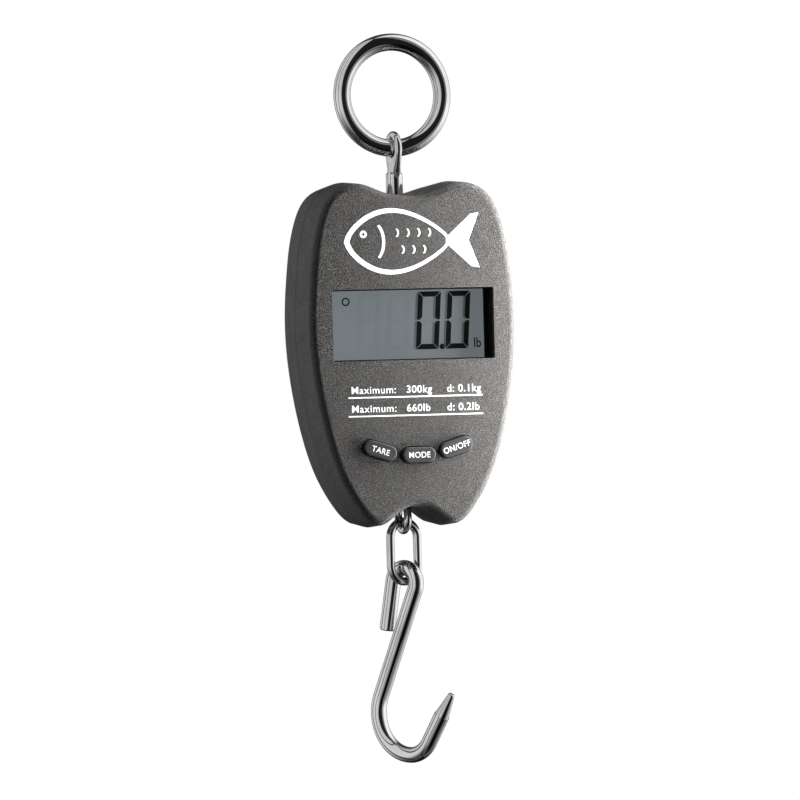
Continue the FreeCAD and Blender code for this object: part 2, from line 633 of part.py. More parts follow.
def battery_contacts():
    """Spring plates with a pressed dimple at both ends of each battery."""
    made = []
    for x, _ in battery_rows():
        for wall_z, way in ((BAY_BOTTOM_Z, 1), (BAY_TOP_Z, -1)):
            end_z = BATTERY_MID_Z - way * BATTERY_LENGTH / 2
            plate_z = sorted((wall_z, wall_z + way * CONTACT_THICK))
            plate = block(x - CONTACT_HALF_WIDTH, x + CONTACT_HALF_WIDTH,
                          BATTERY_Y - CONTACT_HALF_DEPTH, BATTERY_Y + CONTACT_HALF_DEPTH, *plate_z)
            dimple = rod_z(CONTACT_DIMPLE_R, min(wall_z, end_z), max(wall_z, end_z), x, BATTERY_Y)
            made.append(plate.fuse(dimple))
    return Part.makeCompound(made)


def battery_door():
    half = BAY_HALF_WIDTH + DOOR_LEDGE - DOOR_GAP
    low = BAY_BOTTOM_Z - DOOR_LEDGE + DOOR_GAP
    high = BAY_TOP_Z + DOOR_LEDGE - DOOR_GAP
    plate = block(-half, half, DOOR_Y + DOOR_LIFT, REAR_Y, low, high)
    tops = [high - RIB_START - RIB_PITCH * i for i in range(RIB_COUNT)]
    ribs = [block(-RIB_HALF_LENGTH, RIB_HALF_LENGTH, REAR_Y - RIB_DEPTH, REAR_Y + OVER, top - RIB_WIDTH, top)
            for top in tops]
    return cut_all(plate, ribs)


# ---------------------------------------------------------------- link and hook
def turned_point(s, z, turn):
    """A point in an upright plane through the load axis: s runs to the right, and forwards as turn grows."""
    angle = math.radians(turn)
    return Vector(s * math.cos(angle), -s * math.sin(angle), z)


def chain_link():
    """An oval link: two straight sides and two half-round ends."""
    top = LINK_TOP_Z - LINK_R
    bottom = LINK_END_Z + LINK_R
    corners = [turned_point(s, z, LINK_TURN) for s, z in
               ((-LINK_R, top), (LINK_R, top), (LINK_R, bottom), (-LINK_R, bottom))]
    upper = Part.Arc(corners[0], Vector(0, 0, LINK_TOP_Z), corners[1]).toShape()
    lower = Part.Arc(corners[2], Vector(0, 0, LINK_END_Z), corners[3]).toShape()
    sides = [rod_z(LINK_WIRE / 2, bottom, top, corner.x, corner.y) for corner in corners[:2]]
    return fuse_all(sides + [swept_wire([upper], LINK_WIRE), swept_wire([lower], LINK_WIRE)])


def hook_point(s, z):
    """A point in the hook's plane."""
    return turned_point(s, z, HOOK_TURN)


def hook_arc(centre_s, centre_z, radius, start, end):
    """An arc in the hook's plane between two angles, in degrees from +s."""
    places = [math.radians(a) for a in (start, (start + end) / 2, end)]
    points = [hook_point(centre_s + radius * math.cos(a), centre_z + radius * math.sin(a)) for a in places]
    return Part.Arc(*points).toShape()


def s_hook():
    """One bent wire: short leg, upper bend, long slanting leg, wide bend, and a conical point."""
    left_z = HOOK_BOTTOM_Z + HOOK_LEFT_R
    ds = HOOK_BEND_S - HOOK_U_S
    dz = left_z - HOOK_U_Z
    lean = math.degrees(math.asin((HOOK_U_R + HOOK_LEFT_R) / math.hypot(ds, dz)))
    leg = 90 + math.degrees(math.atan2(dz, ds)) - lean
    upper = hook_arc(HOOK_U_S, HOOK_U_Z, HOOK_U_R, 180 - HOOK_SHORT_TILT, leg)
    left = hook_arc(HOOK_BEND_S, left_z, HOOK_LEFT_R, 180 + leg, 270)
    right_z = HOOK_BOTTOM_Z + HOOK_RIGHT_R
    right = hook_arc(HOOK_BEND_S, right_z, HOOK_RIGHT_R, 270, 360 - HOOK_POINT_TILT)
    short_way = hook_point(-math.sin(math.radians(HOOK_SHORT_TILT)), -math.cos(math.radians(HOOK_SHORT_TILT)))
    point_way = hook_point(math.sin(math.radians(HOOK_POINT_TILT)), math.cos(math.radians(HOOK_POINT_TILT)))
    upper_start = upper.valueAt(upper.FirstParameter)
    short_end = upper_start + short_way * HOOK_SHORT_LENGTH
    bend_end = right.valueAt(right.LastParameter)
    cone_base = bend_end + point_way * HOOK_POINT_RUN
    edges = [
        Part.LineSegment(short_end, upper_start).toShape(),
        upper,
        Part.LineSegment(upper.valueAt(upper.LastParameter), left.valueAt(left.FirstParameter)).toShape(),
        left,
        right,
        Part.LineSegment(bend_end, cone_base).toShape(),
    ]
    wire = swept_wire(edges, HOOK_WIRE)
    ends = [e for e in wire.Edges if abs(e.Length - math.pi * HOOK_WIRE) < 0.01
            and (e.CenterOfMass - short_end).Length < 0.1]
    wire = wire.makeChamfer(HOOK_END_CHAMFER, ends)
    cone = Part.makeCone(HOOK_WIRE / 2 - HOOK_CONE_STEP, HOOK_TIP_R, HOOK_CONE, cone_base, point_way)
    tip = [e for e in cone.Edges if abs(e.Length - 2 * math.pi * HOOK_TIP_R) < 0.01]
    return wire.fuse(cone.makeFillet(HOOK_TIP_ROUND, tip))


# ---------------------------------------------------------------- build
def main():
    os.makedirs("parts", exist_ok=True)
    save("hanging_ring", hanging_ring())
    save("top_eye_bolt", eye_bolt(TOP_EYE_Z, TOP_SHANK_Z, CELL_TOP_Z - THREAD_DEPTH,
                                  CELL_TOP_Z + TOP_SHANK_END))
    save("bottom_eye_bolt", eye_bolt(LOWER_EYE_Z, LOWER_SHANK_Z, CELL_BOTTOM_Z + THREAD_DEPTH,
                                     CELL_BOTTOM_Z - LOWER_SHANK_END))
    save("top_lock_nut", hex_nut(CELL_TOP_Z))
    save("bottom_lock_nut", hex_nut(CELL_BOTTOM_Z - NUT_HEIGHT))
    save("front_case", front_case())
    save("rear_case", rear_case())
    save("case_screws", screws(both_sides(CASE_SCREWS), SCREW_SEAT_Y, SCREW_TIP_Y, SCREW_R))
    save("load_cell_screws", screws(both_sides([CELL_SCREWS]), REAR_Y - CELL_SCREW_SEAT, CELL_SCREW_TIP_Y,
                                    CELL_SCREW_R))
    save("display_window", display_window())
    save("display_bezel", display_bezel())
    save("lcd_panel", lcd_panel())
    save("lcd_connectors", lcd_connectors())
    save("circuit_board", circuit_board())
    save("board_screws", board_screws())
    save("board_chips", board_chips())
    save("tact_switches", tact_switches())
    for name, x, z, tilt in BUTTONS:
        save(f"{name}_button", button(x, z, tilt))
        save(f"{name}_switch_stem", switch_stem(x, z))
    save("load_cell", load_cell())
    save("strain_gauges", strain_gauges())
    save("load_cell_cable", load_cell_cable())
    for pole in BATTERY_WIRE_Z:
        save(f"battery_wire_{pole}", battery_wire(pole))
    save("battery_cells", battery_cells())
    save("battery_contacts", battery_contacts())
    save("battery_door", battery_door())
    save("chain_link", chain_link())
    save("s_hook", s_hook())


if __name__ == "__main__":
    main()
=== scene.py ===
"""Looks of a digital fish scale: finishes, printed marks, display segments, studio and camera.

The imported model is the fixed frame.  Each class below is one sub-assembly; it adds the pieces that
are too thin or too fine for the frame, and dresses the frame's own nodes in their finishes.
"""
import logging
import math
from dataclasses import dataclass
from enum import Enum

import bpy
from mathutils import Matrix, Vector


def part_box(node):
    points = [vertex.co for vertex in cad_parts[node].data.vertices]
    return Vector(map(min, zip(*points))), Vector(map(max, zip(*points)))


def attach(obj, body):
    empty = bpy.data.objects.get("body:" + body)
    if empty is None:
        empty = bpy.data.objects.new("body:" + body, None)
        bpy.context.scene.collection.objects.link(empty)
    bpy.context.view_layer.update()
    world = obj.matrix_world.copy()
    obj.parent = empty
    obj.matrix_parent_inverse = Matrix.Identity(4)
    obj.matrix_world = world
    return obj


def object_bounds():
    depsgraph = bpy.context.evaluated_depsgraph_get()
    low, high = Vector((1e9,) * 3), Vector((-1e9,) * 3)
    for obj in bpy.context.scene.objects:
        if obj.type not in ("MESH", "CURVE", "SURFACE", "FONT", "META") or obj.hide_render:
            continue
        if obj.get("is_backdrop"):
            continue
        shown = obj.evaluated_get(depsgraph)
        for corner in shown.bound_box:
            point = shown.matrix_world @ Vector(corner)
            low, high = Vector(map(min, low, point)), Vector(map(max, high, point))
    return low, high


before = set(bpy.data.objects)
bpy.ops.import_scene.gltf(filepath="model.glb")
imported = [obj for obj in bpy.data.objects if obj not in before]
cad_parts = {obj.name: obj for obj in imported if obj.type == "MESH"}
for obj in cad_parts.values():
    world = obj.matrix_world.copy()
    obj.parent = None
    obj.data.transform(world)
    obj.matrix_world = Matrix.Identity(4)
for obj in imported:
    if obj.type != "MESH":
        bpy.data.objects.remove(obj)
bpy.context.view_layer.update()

MM = 0.001
LOG = logging.getLogger("fish_scale")
Loop = list[tuple[float, float]]
Colour = tuple[float, float, float]


# ---------------------------------------------------------------- shader groups
class Group(Enum):
    """The shared effects, by the name of their node group."""

    GRAIN = "moulded_grain"
    MOTTLE = "tone_mottle"
    POLISH = "roughness_drift"
    SCRATCH = "fine_scratches"


def new_group(name: str, inputs: dict[str, float], outputs: dict[str, str]) -> bpy.types.NodeTree:
    """Make an empty shader group with its sockets.

    Args:
        name: the group's name.
        inputs: each float input and its default.
        outputs: each output and its socket type.

    Returns:
        The node tree, with its group input and output nodes named "in" and "out".
    """
    tree = bpy.data.node_groups.new(name, "ShaderNodeTree")
    for label, default in inputs.items():
        socket = tree.interface.new_socket(label, in_out="INPUT", socket_type="NodeSocketFloat")
        socket.default_value = default
    for label, kind in outputs.items():
        tree.interface.new_socket(label, in_out="OUTPUT", socket_type=kind)
    tree.nodes.new("NodeGroupInput").name = "in"
    tree.nodes.new("NodeGroupOutput").name = "out"
    return tree


def noise_node(tree: bpy.types.NodeTree, detail: float, stretch: Colour = (1, 1, 1)) -> bpy.types.Node:
    """Add noise that reads the piece's own coordinates.

    Args:
        tree: the tree to add to.
        detail: octaves of the noise.
        stretch: scale of the coordinates along x, y and z.

    Returns:
        The noise node.
    """
    coords = tree.nodes.new("ShaderNodeTexCoord")
    mapping = tree.nodes.new("ShaderNodeMapping")
    mapping.inputs["Scale"].default_value = stretch
    noise = tree.nodes.new("ShaderNodeTexNoise")
    noise.inputs["Detail"].default_value = detail
    tree.links.new(coords.outputs["Object"], mapping.inputs["Vector"])
    tree.links.new(mapping.outputs["Vector"], noise.inputs["Vector"])
    return noise


def remap(tree: bpy.types.NodeTree, source: bpy.types.NodeSocket, low: float, high: float) -> bpy.types.Node:
    """Stretch a value so that low becomes 0 and high becomes 1.

    Args:
        tree: the tree to add to.
        source: the value.
        low: what becomes 0.
        high: what becomes 1.

    Returns:
        The Map Range node.
    """
    node = tree.nodes.new("ShaderNodeMapRange")
    node.inputs["From Min"].default_value = low
    node.inputs["From Max"].default_value = high
    tree.links.new(source, node.inputs["Value"])
    return node


def build_grain() -> None:
    """Spark-eroded mould grain: small rounded cells broken up by finer noise; a second output picks out the
    peaks, where a finish paints highlights.
    """
    fine_share = 0.35
    valley, peak = 0.45, 0.9
    speck_from, speck_full = 0.66, 0.88
    tree = new_group(Group.GRAIN.value, {"Scale": 1800.0, "Fine": 4200.0},
                     {"Height": "NodeSocketFloat", "PeakHighlight": "NodeSocketFloat"})
    ends = tree.nodes
    coarse = noise_node(tree, 2.0)
    fine = noise_node(tree, 1.0)
    tree.links.new(ends["in"].outputs["Scale"], coarse.inputs["Scale"])
    tree.links.new(ends["in"].outputs["Fine"], fine.inputs["Scale"])
    mix = tree.nodes.new("ShaderNodeMath")
    mix.operation = "MULTIPLY_ADD"
    mix.inputs[1].default_value = fine_share
    tree.links.new(fine.outputs["Fac"], mix.inputs[0])
    tree.links.new(coarse.outputs["Fac"], mix.inputs[2])
    height = remap(tree, mix.outputs["Value"], valley, peak)
    # The grain's peaks, where the light tone is painted on as highlights.
    peak_highlight = remap(tree, mix.outputs["Value"], speck_from, speck_full)
    tree.links.new(height.outputs["Result"], ends["out"].inputs["Height"])
    tree.links.new(peak_highlight.outputs["Result"], ends["out"].inputs["PeakHighlight"])


def build_mottle() -> None:
    """Slow change of tone over a surface."""
    tree = new_group(Group.MOTTLE.value, {"Scale": 40.0}, {"Mask": "NodeSocketFloat"})
    noise = noise_node(tree, 4.0)
    tree.links.new(tree.nodes["in"].outputs["Scale"], noise.inputs["Scale"])
    mask = remap(tree, noise.outputs["Fac"], 0.35, 0.65)
    tree.links.new(mask.outputs["Result"], tree.nodes["out"].inputs["Mask"])


def build_polish() -> None:
    """Roughness that drifts between two values, as handling leaves it."""
    tree = new_group(Group.POLISH.value, {"Scale": 90.0, "Low": 0.1, "High": 0.2},
                     {"Roughness": "NodeSocketFloat"})
    noise = noise_node(tree, 5.0)
    ends = tree.nodes
    tree.links.new(ends["in"].outputs["Scale"], noise.inputs["Scale"])
    spread = remap(tree, noise.outputs["Fac"], 0.35, 0.68)
    tree.links.new(ends["in"].outputs["Low"], spread.inputs["To Min"])
    tree.links.new(ends["in"].outputs["High"], spread.inputs["To Max"])
    tree.links.new(spread.outputs["Result"], ends["out"].inputs["Roughness"])


def build_scratch() -> None:
    """Fine drawn lines along Z, such as bent and polished wire keeps."""
    tree = new_group(Group.SCRATCH.value, {"Scale": 900.0}, {"Height": "NodeSocketFloat"})
    noise = noise_node(tree, 3.0, stretch=(1.0, 1.0, 0.06))
    tree.links.new(tree.nodes["in"].outputs["Scale"], noise.inputs["Scale"])
    tree.links.new(noise.outputs["Fac"], tree.nodes["out"].inputs["Height"])


# ---------------------------------------------------------------- finishes
@dataclass(frozen=True)
class Finish:
    """One finish: two tones, a roughness range and a relief.

    The dark and light tones mix by mottle; a finish with grain highlights lays the light tone on the grain's
    peaks instead, as painted highlights where the peaks catch the light.
    """

    name: str
    dark: Colour
    light: Colour
    rough: tuple[float, float] = (0.4, 0.5)
    metallic: float = 0.0
    mottle_scale: float = 60.0
    relief: Group = Group.GRAIN
    relief_scale: float = 1800.0
    relief_depth: float = 0.02
    relief_strength: float = 0.3
    peak_highlight: float = 0.0
    ior: float = 1.5

    def build(self) -> bpy.types.Material:
        """Build the material.

        Returns:
            The finished material.
        """
        material = bpy.data.materials.new(self.name)
        material.use_nodes = True
        tree = material.node_tree
        shader = tree.nodes["Principled BSDF"]
        shader.inputs["Metallic"].default_value = self.metallic
        shader.inputs["IOR"].default_value = self.ior
        tree.links.new(self.tone(tree), shader.inputs["Base Color"])
        polish = self.group(tree, Group.POLISH)
        polish.inputs["Low"].default_value, polish.inputs["High"].default_value = self.rough
        tree.links.new(polish.outputs["Roughness"], shader.inputs["Roughness"])
        bump = tree.nodes.new("ShaderNodeBump")
        bump.inputs["Strength"].default_value = self.relief_strength
        bump.inputs["Distance"].default_value = self.relief_depth * MM
        tree.links.new(self.height(tree), bump.inputs["Height"])
        tree.links.new(bump.outputs["Normal"], shader.inputs["Normal"])
        return material

    def group(self, tree: bpy.types.NodeTree, kind: Group) -> bpy.types.Node:
        """Place a shared group in the material.

        Args:
            tree: the material's tree.
            kind: which group.

        Returns:
            The group node.
        """
        node = tree.nodes.new("ShaderNodeGroup")
        node.node_tree = bpy.data.node_groups[kind.value]
        return node

    def height(self, tree: bpy.types.NodeTree) -> bpy.types.NodeSocket:
        """Take the relief's height from the finish's own group.

        Args:
            tree: the material's tree.

        Returns:
            The height's socket.
        """
        node = self.group(tree, self.relief)
        node.inputs["Scale"].default_value = self.relief_scale
        return node.outputs["Height"]

    def mix(self, tree: bpy.types.NodeTree, mask: bpy.types.NodeSocket, dark: Colour,
            light: Colour) -> bpy.types.NodeSocket:
        """Mix two tones by a mask.

        Args:
            tree: the material's tree.
            mask: 0 gives dark and 1 gives light.
            dark: the tone at 0.
            light: the tone at 1.

        Returns:
            The mixed colour.
        """
        ramp = tree.nodes.new("ShaderNodeValToRGB")
        ramp.color_ramp.elements[0].color = (*dark, 1.0)
        ramp.color_ramp.elements[1].color = (*light, 1.0)
        tree.links.new(mask, ramp.inputs["Fac"])
        return ramp.outputs["Color"]

    def tone(self, tree: bpy.types.NodeTree) -> bpy.types.NodeSocket:
        """Make the base colour: mottled, with painted highlights on the grain's peaks where the finish asks
        for them.

        Args:
            tree: the material's tree.

        Returns:
            The colour's socket.
        """
        mottle = self.group(tree, Group.MOTTLE)
        mottle.inputs["Scale"].default_value = self.mottle_scale
        if not self.peak_highlight:
            return self.mix(tree, mottle.outputs["Mask"], self.dark, self.light)
        grain = self.group(tree, Group.GRAIN)
        grain.inputs["Scale"].default_value = self.relief_scale
        # A darker copy of the dark tone, mixed in at random patches by the mottle.
        mottle_dark_share = 0.92
        low = tuple(c * mottle_dark_share for c in self.dark)
        base = self.mix(tree, mottle.outputs["Mask"], low, self.dark)
        # Painted highlights: the light tone is laid over the base on the grain's peaks, where raking light
        # would catch them.
        blend = tree.nodes.new("ShaderNodeMix")
        blend.data_type = "RGBA"
        blend.inputs["B"].default_value = (*self.light, 1.0)
        scaled = tree.nodes.new("ShaderNodeMath")
        scaled.operation = "MULTIPLY"
        scaled.inputs[1].default_value = self.peak_highlight
        tree.links.new(grain.outputs["PeakHighlight"], scaled.inputs[0])
        tree.links.new(scaled.outputs["Value"], blend.inputs["Factor"])
        tree.links.new(base, blend.inputs["A"])
        return blend.outputs["Result"]


@dataclass(frozen=True)
class GridFinish(Finish):
    """A finish with thin lines in a grid, as on a circuit board or a foil gauge."""

    line: Colour = (0.5, 0.4, 0.2)
    pitch: float = 2.0
    width: float = 0.06

    def tone(self, tree: bpy.types.NodeTree) -> bpy.types.NodeSocket:
        """Make the base colour with the grid's lines over it.

        Args:
            tree: the material's tree.

        Returns:
            The colour's socket.
        """
        coords = tree.nodes.new("ShaderNodeTexCoord")
        turn = tree.nodes.new("ShaderNodeMapping")
        turn.inputs["Rotation"].default_value = (math.pi / 2, 0, 0)
        bricks = tree.nodes.new("ShaderNodeTexBrick")
        bricks.inputs["Scale"].default_value = 1.0
        bricks.inputs["Mortar Size"].default_value = self.pitch * self.width * MM
        bricks.inputs["Brick Width"].default_value = self.pitch * MM * 3
        bricks.inputs["Row Height"].default_value = self.pitch * MM
        bricks.inputs["Color1"].default_value = (*self.dark, 1.0)
        bricks.inputs["Color2"].default_value = (*self.light, 1.0)
        bricks.inputs["Mortar"].default_value = (*self.line, 1.0)
        tree.links.new(coords.outputs["Object"], turn.inputs["Vector"])
        tree.links.new(turn.outputs["Vector"], bricks.inputs["Vector"])
        return bricks.outputs["Color"]


@dataclass(frozen=True)
class SleeveFinish(Finish):
    """A battery's sleeve: a dark body with a bright band above the height split_z, in metres."""

    band: Colour = (0.55, 0.36, 0.12)
    split_z: float = -0.112
    edge: float = 0.05

    def tone(self, tree: bpy.types.NodeTree) -> bpy.types.NodeSocket:
        """Make the sleeve dark below the split and the band's colour above it.

        Args:
            tree: the material's tree.

        Returns:
            The colour's socket.
        """
        coords = tree.nodes.new("ShaderNodeTexCoord")
        parts = tree.nodes.new("ShaderNodeSeparateXYZ")
        tree.links.new(coords.outputs["Object"], parts.inputs["Vector"])
        step = remap(tree, parts.outputs["Z"], self.split_z - self.edge * MM, self.split_z + self.edge * MM)
        return self.mix(tree, step.outputs["Result"], self.dark, self.band)


@dataclass(frozen=True)
class GlowFinish(Finish):
    """A finish whose tone also glows. On the display film, its unlit segments, the painted segment shadows
    and the white ink, this glow is painted light, since none of these is a lamp; on the studio floor it keeps
    the floor evenly bright.
    """

    glow: float = 1.0

    def build(self) -> bpy.types.Material:
        """Build the material with its tone glowing too.

        Returns:
            The finished material.
        """
        material = Finish.build(self)
        tree = material.node_tree
        shader = tree.nodes["Principled BSDF"]
        tree.links.new(self.tone(tree), shader.inputs["Emission Color"])
        shader.inputs["Emission Strength"].default_value = self.glow
        return material


@dataclass(frozen=True)
class ClearFinish(Finish):
    """Clear sheet: a weak gloss that lets light and sight through."""

    alpha: float = 0.03

    def build(self) -> bpy.types.Material:
        """Build the material with its alpha set.

        Returns:
            The finished material.
        """
        material = Finish.build(self)
        material.node_tree.nodes["Principled BSDF"].inputs["Alpha"].default_value = self.alpha
        return material


STEEL = Finish("polished_steel", dark=(0.60, 0.592, 0.585), light=(0.72, 0.712, 0.705), rough=(0.03, 0.09),
               metallic=1.0, mottle_scale=70.0, relief=Group.SCRATCH, relief_scale=900.0,
               relief_depth=0.004, relief_strength=0.25)
ZINC = Finish("zinc_steel", dark=(0.42, 0.42, 0.40), light=(0.60, 0.60, 0.57), rough=(0.28, 0.42),
              metallic=1.0, mottle_scale=300.0, relief_scale=2500.0, relief_depth=0.006,
              relief_strength=0.3)
# Grained case plastic: black, with a real grain relief; the light tone on the grain's peaks is painted
# highlight.
GRAINED = Finish("grained_case_plastic", dark=(0.028, 0.028, 0.0275), light=(0.20, 0.198, 0.195),
                 rough=(0.42, 0.56), mottle_scale=25.0, relief_scale=3200.0, relief_depth=0.11,
                 relief_strength=1.0, peak_highlight=0.85)
SATIN = Finish("satin_button_plastic", dark=(0.042, 0.043, 0.045), light=(0.055, 0.056, 0.058),
               rough=(0.34, 0.46), mottle_scale=120.0, relief_scale=3200.0, relief_depth=0.01,
               relief_strength=0.25)
BLACK = Finish("black_frame_plastic", dark=(0.006, 0.006, 0.007), light=(0.012, 0.012, 0.013),
               rough=(0.35, 0.5), mottle_scale=150.0, relief_scale=2600.0, relief_depth=0.01,
               relief_strength=0.25)
# Display film: painted light. The film is no lamp, but it glows so that it reads evenly bright, even where
# its well shades it.
LCD = GlowFinish("display_film_painted_glow", dark=(0.044, 0.050, 0.053), light=(0.050, 0.057, 0.060), rough=(0.5, 0.6),
                 mottle_scale=22.0, relief_scale=5200.0, relief_depth=0.003, relief_strength=0.2, ior=1.25,
                 glow=2.9)
ACRYLIC = ClearFinish("clear_acrylic", dark=(0.02, 0.024, 0.025), light=(0.03, 0.034, 0.035),
                      rough=(0.03, 0.07), mottle_scale=30.0, relief_scale=900.0, relief_depth=0.001,
                      relief_strength=0.1)
# White ink: the print is real, but its glow is painted light that makes it whiter than the lamps alone would.
INK = GlowFinish("white_ink_painted_glow", dark=(0.80, 0.80, 0.80), light=(0.88, 0.88, 0.88), rough=(0.45, 0.6),
                 mottle_scale=220.0, relief_scale=2200.0, relief_depth=0.012, relief_strength=0.4,
                 glow=0.45)
SEGMENT = Finish("lit_segment", dark=(0.002, 0.003, 0.003), light=(0.004, 0.005, 0.005), rough=(0.5, 0.6),
                 mottle_scale=200.0, relief_scale=3000.0, relief_depth=0.002, relief_strength=0.1, ior=1.15)
# Painted shadow: dark, glowing copies of the lit digits, set a little to their left, stand in for the shadow
# that the segments cast on the reflector behind the glass.
PAINTED_SHADOW = GlowFinish("painted_segment_shadow", dark=(0.026, 0.030, 0.032), light=(0.030, 0.035, 0.037),
                   rough=(0.5, 0.6), mottle_scale=90.0, relief_scale=3000.0, relief_depth=0.002,
                   relief_strength=0.1, ior=1.25, glow=2.0)
# Unlit segments: a faint real pattern, but their glow is painted light, matched to the display film's.
GHOST = GlowFinish("unlit_segment", dark=(0.042, 0.048, 0.051), light=(0.048, 0.055, 0.058),
                   rough=(0.5, 0.6), mottle_scale=22.0, relief_scale=3000.0, relief_depth=0.002,
                   relief_strength=0.1, ior=1.25, glow=2.9)
BOARD = GridFinish("board_laminate", dark=(0.012, 0.09, 0.035), light=(0.016, 0.12, 0.045),
                   rough=(0.22, 0.34), mottle_scale=60.0, relief_scale=1400.0, relief_depth=0.01,
                   relief_strength=0.25, line=(0.03, 0.2, 0.08), pitch=1.6, width=0.12)
CHIP = Finish("chip_resin", dark=(0.012, 0.012, 0.013), light=(0.024, 0.024, 0.025), rough=(0.5, 0.65),
              mottle_scale=260.0, relief_scale=4200.0, relief_depth=0.008, relief_strength=0.4)
RUBBER = Finish("contact_rubber", dark=(0.03, 0.03, 0.033), light=(0.05, 0.05, 0.054), rough=(0.6, 0.75),
                mottle_scale=260.0, relief_scale=3800.0, relief_depth=0.01, relief_strength=0.4)
ALLOY = Finish("milled_alloy", dark=(0.52, 0.53, 0.55), light=(0.68, 0.69, 0.70), rough=(0.26, 0.40),
               metallic=1.0, mottle_scale=90.0, relief=Group.SCRATCH, relief_scale=1500.0,
               relief_depth=0.01, relief_strength=0.35)
GAUGE = GridFinish("gauge_foil", dark=(0.42, 0.22, 0.06), light=(0.48, 0.26, 0.08), rough=(0.2, 0.3),
                   mottle_scale=60.0, relief_scale=2400.0, relief_depth=0.004, relief_strength=0.2,
                   line=(0.75, 0.6, 0.35), pitch=0.6, width=0.35)
SCREW = Finish("blackened_steel", dark=(0.03, 0.03, 0.032), light=(0.07, 0.07, 0.072), rough=(0.3, 0.45),
               metallic=0.8, mottle_scale=500.0, relief_scale=2600.0, relief_depth=0.008,
               relief_strength=0.4)
GREY_SHEATH = Finish("grey_sheath", dark=(0.16, 0.16, 0.165), light=(0.22, 0.22, 0.225), rough=(0.42, 0.55),
                     mottle_scale=200.0)
RED_SHEATH = Finish("red_sheath", dark=(0.32, 0.012, 0.012), light=(0.42, 0.02, 0.018), rough=(0.38, 0.5),
                    mottle_scale=200.0)
BLACK_SHEATH = Finish("black_sheath", dark=(0.01, 0.01, 0.01), light=(0.02, 0.02, 0.02), rough=(0.38, 0.5),
                      mottle_scale=200.0)
SLEEVE = SleeveFinish("battery_sleeve", dark=(0.02, 0.022, 0.026), light=(0.03, 0.03, 0.03),
                      rough=(0.2, 0.32), metallic=0.6, mottle_scale=80.0, relief_scale=1500.0,
                      relief_depth=0.002, relief_strength=0.2)
FLOOR = GlowFinish("studio_floor", dark=(0.78, 0.78, 0.78), light=(0.82, 0.82, 0.82), rough=(0.7, 0.8),
                   mottle_scale=3.0, glow=0.6)


class Wardrobe:
    """Builds each finish once and puts it on pieces."""

    def __init__(self) -> None:
        """Start with the shared groups built and no materials."""
        self.made: dict[str, bpy.types.Material] = {}
        for build in (build_grain, build_mottle, build_polish, build_scratch):
            build()

    def material(self, finish: Finish) -> bpy.types.Material:
        """Find the finish's material, built at its first use.

        Args:
            finish: which finish.

        Returns:
            Its material.
        """
        if finish.name not in self.made:
            self.made[finish.name] = finish.build()
        return self.made[finish.name]

    def dress(self, piece: bpy.types.Object, finish: Finish) -> None:
        """Put a finish on every slot of a piece.

        Args:
            piece: a new piece or a node of the frame.
            finish: what it is finished in.
        """
        if not piece.material_slots:
            piece.data.materials.append(None)
        for slot in piece.material_slots:
            slot.material = self.material(finish)

    def dress_nodes(self, finish: Finish, *nodes: str) -> None:
        """Put one finish on several nodes of the frame.

        Args:
            finish: what they are finished in.
            *nodes: the nodes' names.
        """
        for node in nodes:
            self.dress(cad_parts[node], finish)
            LOG.info("node %s in %s", node, finish.name)


# ---------------------------------------------------------------- mesh helpers
def deselect() -> None:
    """Clear the selection, so that an operator acts only on what is chosen next."""
    bpy.ops.object.select_all(action="DESELECT")


def choose(piece: bpy.types.Object) -> None:
    """Select one piece and make it active.

    Args:
        piece: what the next operator acts on.
    """
    deselect()
    piece.select_set(True)
    bpy.context.view_layer.objects.active = piece


def stand_upright(piece: bpy.types.Object, x: float, y: float, z: float, tilt: float = 0.0) -> None:
    """Turn a flat curve or text into a closed mesh that faces the front.

    Args:
        piece: the flat object, drawn in its own X-Y plane.
        x: where its origin goes, in metres.
        y: depth of its middle, in metres.
        z: height of its origin, in metres.
        tilt: turn in the front plane, in degrees, right end up.
    """
    choose(piece)
    bpy.ops.object.convert(target="MESH")
    piece = bpy.context.view_layer.objects.active
    place = Matrix.Translation((x, y, z)) @ Matrix.Rotation(math.radians(-tilt), 4, "Y")
    piece.data.transform(place @ Matrix.Rotation(math.pi / 2, 4, "X"))
    bpy.ops.object.mode_set(mode="EDIT")
    bpy.ops.mesh.select_all(action="SELECT")
    bpy.ops.mesh.remove_doubles(threshold=0.001 * MM)
    bpy.ops.mesh.normals_make_consistent(inside=False)
    bpy.ops.object.mode_set(mode="OBJECT")
    deselect()


def flat_plate(name: str, loops: list[Loop], rise: float) -> bpy.types.Object:
    """Make a flat filled shape from closed loops; a loop inside another is a hole.

    Args:
        name: the piece's name.
        loops: closed outlines in millimetres.
        rise: full thickness in millimetres.

    Returns:
        The curve object, drawn about the origin in the X-Y plane.
    """
    curve = bpy.data.curves.new(name, "CURVE")
    curve.dimensions = "2D"
    curve.fill_mode = "BOTH"
    curve.extrude = rise * MM / 2
    for loop in loops:
        spline = curve.splines.new("POLY")
        spline.points.add(len(loop) - 1)
        for point, (u, v) in zip(spline.points, loop):
            point.co = (u * MM, v * MM, 0.0, 1.0)
        spline.use_cyclic_u = True
    piece = bpy.data.objects.new(name, curve)
    bpy.context.scene.collection.objects.link(piece)
    return piece


